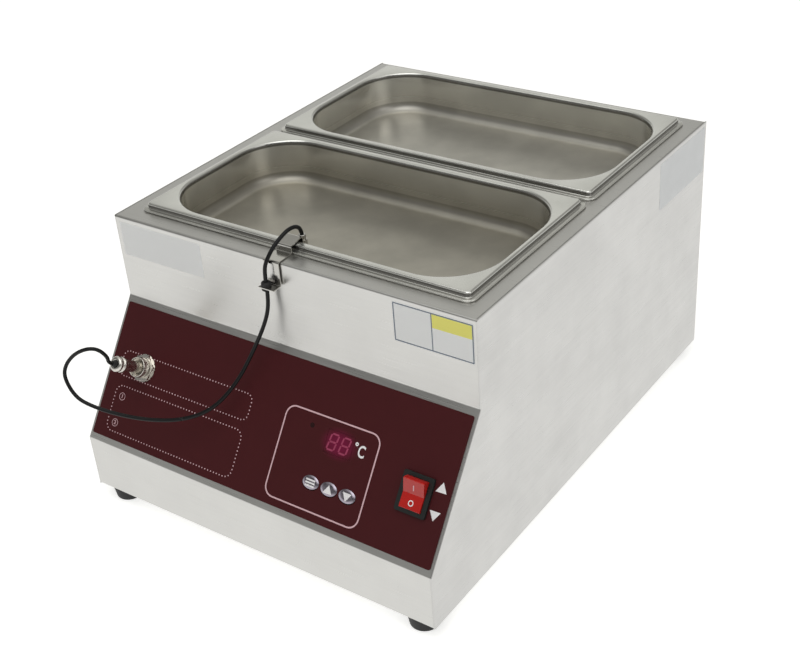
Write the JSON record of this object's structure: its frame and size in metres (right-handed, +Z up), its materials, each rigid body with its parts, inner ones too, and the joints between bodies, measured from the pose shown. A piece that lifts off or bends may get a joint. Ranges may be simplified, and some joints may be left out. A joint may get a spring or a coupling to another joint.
{
  "type": "chocolate tempering machine",
  "caption": "Countertop chocolate tempering machine with a sloping control panel, lift-out pans over heated wells and a clip-on probe.",
  "frame": {"origin": "middle of the housing's footprint at the underside of the feet", "axes": "+X to the machine's right seen from the front, +Y from the control panel towards the rear, +Z up"},
  "size_m": [0.354, 0.4819, 0.2636],
  "materials": {
    "stainless_sheet": "horizontally brushed stainless sheet",
    "pan_steel": "satin pressed stainless",
    "well_aluminium": "plain pressed aluminium",
    "silicone_mat": "smooth silicone",
    "mineral_wool": "loose mineral fibre",
    "zinc_steel": "bright zinc-plated steel",
    "black_rubber": "matt black rubber",
    "panel_film": "matt printed dark red film",
    "display_tint": "glossy dark magenta window",
    "black_plastic": "fine matt black plastic",
    "silver_key": "silver-grey satin plastic",
    "lamp_green": "clear greenish lamp",
    "red_plastic": "glossy red plastic",
    "circuit_board": "green circuit board",
    "pale_plastic": "pale plastic",
    "transformer_resin": "blue cast resin",
    "nickel_plate": "satin nickel plate",
    "brass_contact": "plain brass",
    "cord_grey": "smooth dark silicone cord",
    "lead_insulation": "fibreglass and silicone sleeving"
  },
  "bodies": {
    "housing": {"front_top_cover": "stainless_sheet", "left_side_panel": "stainless_sheet", "right_side_panel": "stainless_sheet", "rear_panel": "stainless_sheet", "base_plate": "stainless_sheet", "front_heater_well": "well_aluminium", "rear_heater_well": "well_aluminium", "heat_shield": "well_aluminium", "front_heater_mat": "silicone_mat", "rear_heater_mat": "silicone_mat", "front_insulation_pad": "mineral_wool", "rear_insulation_pad": "mineral_wool", "rear_screws": "zinc_steel", "base_screws": "zinc_steel", "foot_screws": "zinc_steel", "foot_nuts": "zinc_steel", "hanger_screws": "zinc_steel", "shield_hangers": "zinc_steel", "board_standoffs": "zinc_steel", "inlet_screws": "zinc_steel", "earth_stud": "zinc_steel", "feet": "black_rubber", "plug_boot": "black_rubber", "control_overlay": "panel_film", "display_window": "display_tint", "display_module": "black_plastic", "switch_bezel": "black_plastic", "power_inlet": "black_plastic", "board_relay": "black_plastic", "tact_switches": "black_plastic", "indicator_leds": "lamp_green", "controller_board": "circuit_board", "terminal_block": "pale_plastic", "board_terminals": "pale_plastic", "thermal_cutouts": "pale_plastic", "board_transformer": "transformer_resin", "probe_socket": "nickel_plate", "socket_washer": "nickel_plate", "socket_nut": "nickel_plate", "plug_body": "nickel_plate", "plug_clamp": "nickel_plate", "switch_terminals": "brass_contact", "inlet_pins": "brass_contact", "well_sensors": "brass_contact", "probe_cord_lower": "cord_grey", "wiring_harness": "lead_insulation"},
    "front_pan_body": {"front_pan": "pan_steel"},
    "probe_body": {"probe_clip": "pan_steel", "clip_grommet": "black_rubber", "probe_tube": "pan_steel", "probe_cord_upper": "cord_grey"},
    "rear_pan_body": {"rear_pan": "pan_steel"},
    "rocker_body": {"rocker": "red_plastic"},
    "set_key_body": {"set_key": "silver_key"},
    "up_key_body": {"up_key": "silver_key"},
    "down_key_body": {"down_key": "silver_key"},
    "coupling_ring_body": {"coupling_ring": "nickel_plate"}
  },
  "joints": [
    {"name": "front_pan_lift", "type": "slide", "parent": "housing", "child": "front_pan_body", "axis": [0, 0, 1], "range_m": [0, 0.06]},
    {"name": "probe_lift", "type": "slide", "parent": "front_pan_body", "child": "probe_body", "axis": [0, 0, 1], "range_m": [0, 0.06]},
    {"name": "rear_pan_lift", "type": "slide", "parent": "housing", "child": "rear_pan_body", "axis": [0, 0, 1], "range_m": [0, 0.06]},
    {"name": "rocker_tilt", "type": "hinge", "parent": "housing", "child": "rocker_body", "pos_m": [0.1454, -0.20255, 0.10867], "axis": [-1, 0, 0], "range_deg": [0, 26]},
    {"name": "set_key_press", "type": "slide", "parent": "housing", "child": "set_key_body", "axis": [0, 0.8092, -0.5875], "range_m": [0, 0.0008], "stiffness_N_per_m": 1500, "springref_m": -0.0002},
    {"name": "up_key_press", "type": "slide", "parent": "housing", "child": "up_key_body", "axis": [0, 0.8092, -0.5875], "range_m": [0, 0.0008], "stiffness_N_per_m": 1500, "springref_m": -0.0002},
    {"name": "down_key_press", "type": "slide", "parent": "housing", "child": "down_key_body", "axis": [0, 0.8092, -0.5875], "range_m": [0, 0.0008], "stiffness_N_per_m": 1500, "springref_m": -0.0002},
    {"name": "coupling_ring_turn", "type": "hinge", "parent": "housing", "child": "coupling_ring_body", "pos_m": [-0.1375, -0.19572, 0.12608], "axis": [0, -0.8092, 0.5875], "range_deg": [0, 540]}
  ]
}
